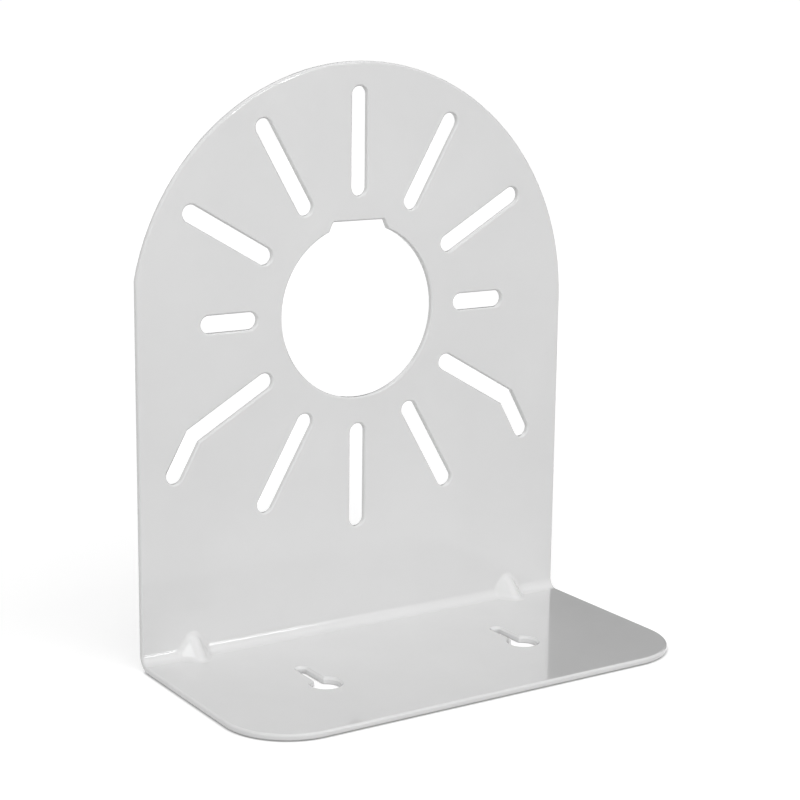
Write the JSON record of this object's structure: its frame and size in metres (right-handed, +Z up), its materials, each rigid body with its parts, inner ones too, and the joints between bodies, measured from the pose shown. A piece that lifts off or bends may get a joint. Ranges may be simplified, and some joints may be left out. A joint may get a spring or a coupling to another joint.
{
  "type": "camera wall bracket",
  "caption": "L-shaped steel bracket folded from one sheet: an arched face plate with a round hole and a fan of screw slots, above a flange with keyholes.",
  "frame": {"origin": "middle of the bracket's footprint, on the underside of the flange (the face that goes against the wall)", "axes": "+Z up the face plate, +X along the fold, +Y from the flange's front edge to the face plate, so the flange reaches out towards -Y"},
  "size_m": [0.15, 0.0738, 0.1756],
  "materials": {
    "coated_steel": "gloss white powder coat"
  },
  "bodies": {
    "root": {"bracket": "coated_steel"}
  },
  "joints": []
}
